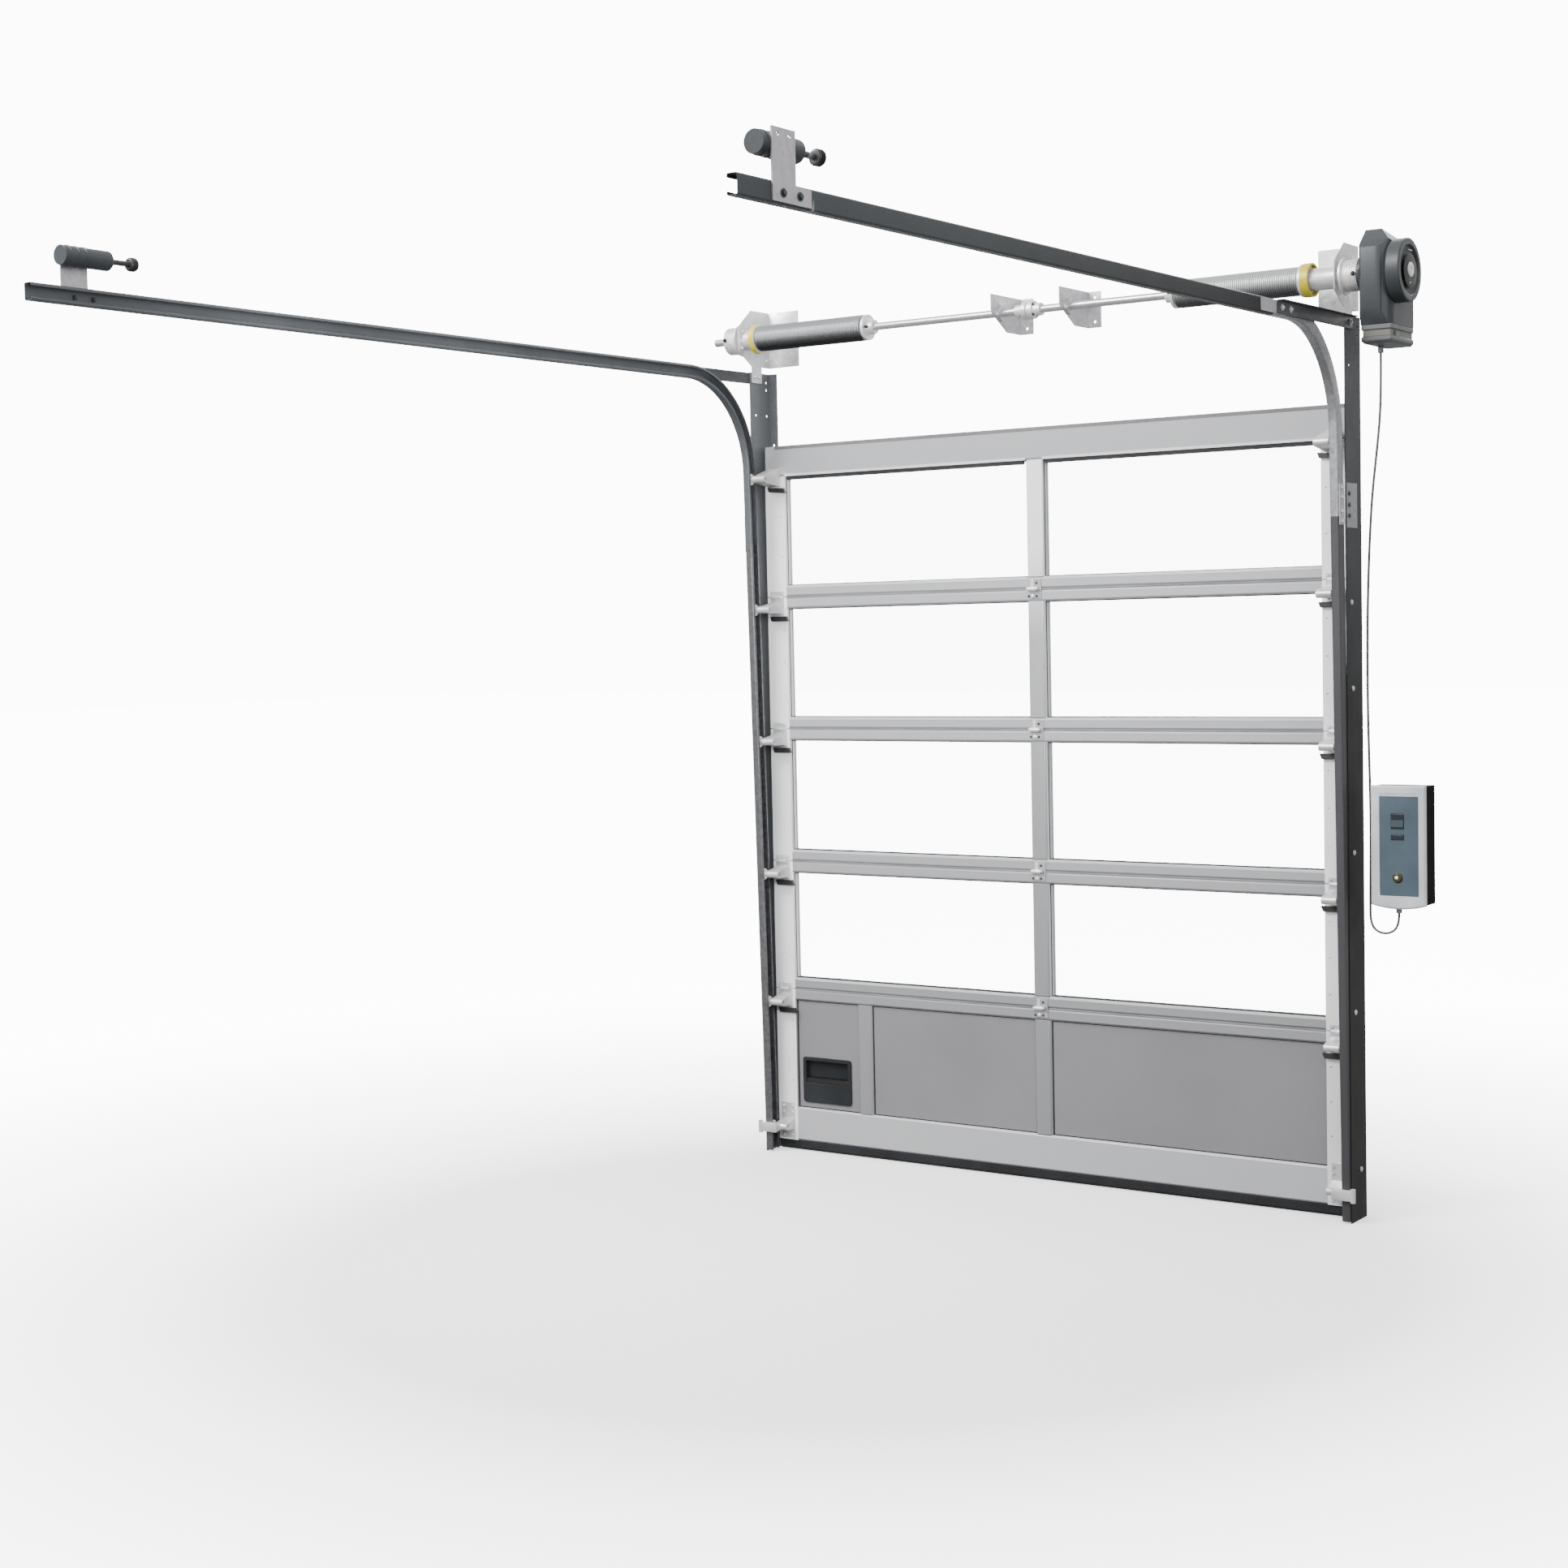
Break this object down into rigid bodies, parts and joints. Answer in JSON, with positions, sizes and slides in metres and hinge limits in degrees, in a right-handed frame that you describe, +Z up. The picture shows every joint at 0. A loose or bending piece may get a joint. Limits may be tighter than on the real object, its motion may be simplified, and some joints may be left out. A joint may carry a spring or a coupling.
{
  "type": "sectional aluminium garage door with tracks, torsion springs and drive",
  "caption": "Closed sectional garage door of silver aluminium frames with clear panes, on slate grey tracks, with a torsion spring shaft, side drive and control box.",
  "frame": {"origin": "wall face of the left wall angle, in the middle of its flange, at the floor", "axes": "+X along the wall to the right as seen from inside, +Y into the wall, +Z up"},
  "size_m": [2.616, 3.2361, 3.058],
  "materials": {
    "black_plastic": "black moulded plastic",
    "black_rubber": "matt black rubber",
    "bright_alloy": "bright machined steel and cast alloy",
    "clear_pane": "clear double pane",
    "dark_rod": "dark rod with a rubber knob",
    "grey_cable": "grey cable sheath",
    "grey_infill": "matt warm grey sheet",
    "grey_plastic": "grey cable gland",
    "lamp_plastic": "yellow-white lamp",
    "pale_plastic": "pale grey cover",
    "silver_frame": "satin silver extruded aluminium",
    "slate_cast": "slate grey coated housing",
    "slate_steel": "slate grey powder coat",
    "spring_steel": "grey close-wound spring wire",
    "yellow_paint": "yellow painted ring",
    "zinc_steel": "bright zinc-plated sheet steel"
  },
  "bodies": {
    "root": {"bottom_brackets": "zinc_steel", "bottom_seal": "black_rubber", "buffer_housings": "black_plastic", "cable_glands": "grey_plastic", "centre_hinges": "zinc_steel", "centre_plates": "zinc_steel", "control_box": "black_plastic", "control_cover": "pale_plastic", "control_lamp": "lamp_plastic", "curved_track_left": "slate_steel", "curved_track_right": "slate_steel", "end_plates": "zinc_steel", "front_bars": "slate_steel", "horizontal_track_left": "slate_steel", "horizontal_track_right": "slate_steel", "infill_panels": "grey_infill", "motor_boss": "slate_cast", "motor_cable": "grey_cable", "motor_end_cap": "slate_cast", "motor_housing": "slate_cast", "pull_handle": "black_plastic", "rear_hangers": "zinc_steel", "roller_holders_left": "zinc_steel", "roller_holders_right": "zinc_steel", "rollers_left": "zinc_steel", "rollers_right": "zinc_steel", "section_1_rails": "silver_frame", "section_1_stiles": "silver_frame", "section_2_rails": "silver_frame", "section_2_stiles": "silver_frame", "section_3_rails": "silver_frame", "section_3_stiles": "silver_frame", "section_4_rails": "silver_frame", "section_4_stiles": "silver_frame", "section_5_rails": "silver_frame", "section_5_stiles": "silver_frame", "side_hinges_left": "zinc_steel", "side_hinges_right": "zinc_steel", "spring_anchors": "yellow_paint", "spring_left": "spring_steel", "spring_right": "spring_steel", "track_splices": "zinc_steel", "vertical_track_left": "slate_steel", "vertical_track_right": "slate_steel", "wall_angle_left": "slate_steel", "wall_angle_right": "slate_steel", "window_panes": "clear_pane"},
    "torsion_shaft": {"torsion_shaft": "bright_alloy", "shaft_coupling": "bright_alloy", "cable_drums": "bright_alloy", "winding_cones": "bright_alloy"},
    "buffer_rod_left": {"buffer_rod_left": "dark_rod"},
    "buffer_rod_right": {"buffer_rod_right": "dark_rod"},
    "key_upper": {"key_upper": "black_plastic"},
    "key_lower": {"key_lower": "black_plastic"}
  },
  "joints": [
    {"name": "shaft_turn", "type": "hinge", "parent": "root", "child": "torsion_shaft", "pos_m": [1.1095, -0.14, 2.926], "axis": [1, 0, 0], "range_deg": [0, 2700]},
    {"name": "buffer_left_press", "type": "slide", "parent": "root", "child": "buffer_rod_left", "axis": [0, -1, 0], "range_m": [0, 0.04], "stiffness_N_per_m": 6000, "springref_m": -0.005},
    {"name": "buffer_right_press", "type": "slide", "parent": "root", "child": "buffer_rod_right", "axis": [0, -1, 0], "range_m": [0, 0.04], "stiffness_N_per_m": 6000, "springref_m": -0.005},
    {"name": "key_upper_press", "type": "slide", "parent": "root", "child": "key_upper", "axis": [0, 1, 0], "range_m": [0, 0.003], "stiffness_N_per_m": 600, "springref_m": -0.001},
    {"name": "key_lower_press", "type": "slide", "parent": "root", "child": "key_lower", "axis": [0, 1, 0], "range_m": [0, 0.003], "stiffness_N_per_m": 600, "springref_m": -0.001}
  ]
}
